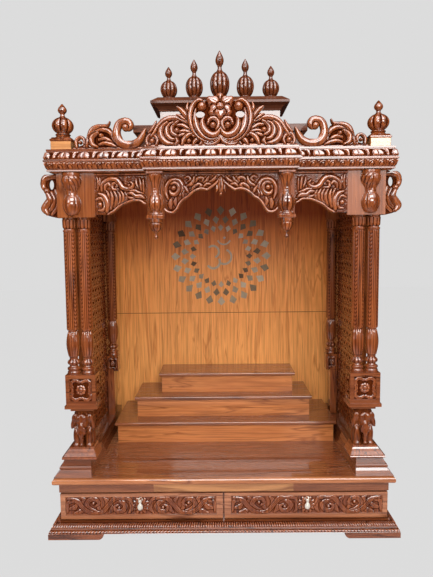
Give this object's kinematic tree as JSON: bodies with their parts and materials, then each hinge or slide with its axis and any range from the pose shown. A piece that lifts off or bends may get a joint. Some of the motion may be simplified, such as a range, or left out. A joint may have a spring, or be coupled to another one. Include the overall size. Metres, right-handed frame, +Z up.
{
  "type": "pooja mandir",
  "caption": "Carved teak household shrine with drawers under a stepped platform, paired pillars, a scalloped arch, a pierced crest and turned roof finials.",
  "frame": {"origin": "on the floor under the middle of the whole piece", "axes": "+Z up, -Y towards the open front, +X to the right seen from the front"},
  "size_m": [1.0828, 0.6126, 1.491],
  "materials": {
    "carved_teak": "varnished gloss",
    "plain_teak": "varnished gloss",
    "panel_veneer": "satin varnish",
    "riser_veneer": "satin varnish",
    "drawer_plywood": "plain",
    "pull_brass": "polished",
    "mirror_glass": "polished"
  },
  "bodies": {
    "mandir": {"feet": "carved_teak", "plinth_front": "carved_teak", "plinth_sides": "carved_teak", "plinth_back": "plain_teak", "cabinet_floor": "plain_teak", "cabinet_sides": "plain_teak", "cabinet_back": "plain_teak", "cabinet_divider": "plain_teak", "front_rail_middle": "plain_teak", "front_rail_ends": "plain_teak", "deck": "plain_teak", "step_treads": "plain_teak", "step_boxes": "riser_veneer", "side_bases": "carved_teak", "elephants": "carved_teak", "pillar_blocks": "carved_teak", "front_pillars": "carved_teak", "rear_pillars": "carved_teak", "side_panels": "carved_teak", "back_panel_lower": "panel_veneer", "back_panel_upper": "panel_veneer", "mirror_petals": "mirror_glass", "mirror_om": "mirror_glass", "capital_blocks": "plain_teak", "front_brackets": "carved_teak", "side_brackets": "carved_teak", "front_strips": "plain_teak", "spandrels": "carved_teak", "pendants": "carved_teak", "arch_panel": "carved_teak", "ceiling_board": "plain_teak", "cornice_sides": "carved_teak", "cornice_front_runs": "carved_teak", "cornice_breakfront": "carved_teak", "roof_back_rail": "plain_teak", "roof_board": "plain_teak", "roof_tier": "plain_teak", "roof_box": "plain_teak", "roof_cap": "plain_teak", "roof_finials": "carved_teak", "corner_finials": "carved_teak", "crest_centre": "carved_teak", "crest_wings": "carved_teak"},
    "left_drawer": {"left_drawer_front": "carved_teak", "left_drawer_box": "drawer_plywood", "left_pull_mount": "pull_brass"},
    "left_pull": {"left_pull_drop": "pull_brass"},
    "right_drawer": {"right_drawer_front": "carved_teak", "right_drawer_box": "drawer_plywood", "right_pull_mount": "pull_brass"},
    "right_pull": {"right_pull_drop": "pull_brass"}
  },
  "joints": [
    {"name": "left_drawer_slide", "type": "slide", "parent": "mandir", "child": "left_drawer", "axis": [0, -1, 0], "range_m": [0, 0.3]},
    {"name": "left_pull_swing", "type": "hinge", "parent": "left_drawer", "child": "left_pull", "pos_m": [-0.259, -0.24975, 0.09975], "axis": [-1, 0, 0], "range_deg": [0, 70]},
    {"name": "right_drawer_slide", "type": "slide", "parent": "mandir", "child": "right_drawer", "axis": [0, -1, 0], "range_m": [0, 0.3]},
    {"name": "right_pull_swing", "type": "hinge", "parent": "right_drawer", "child": "right_pull", "pos_m": [0.259, -0.24975, 0.09975], "axis": [-1, 0, 0], "range_deg": [0, 70]}
  ]
}
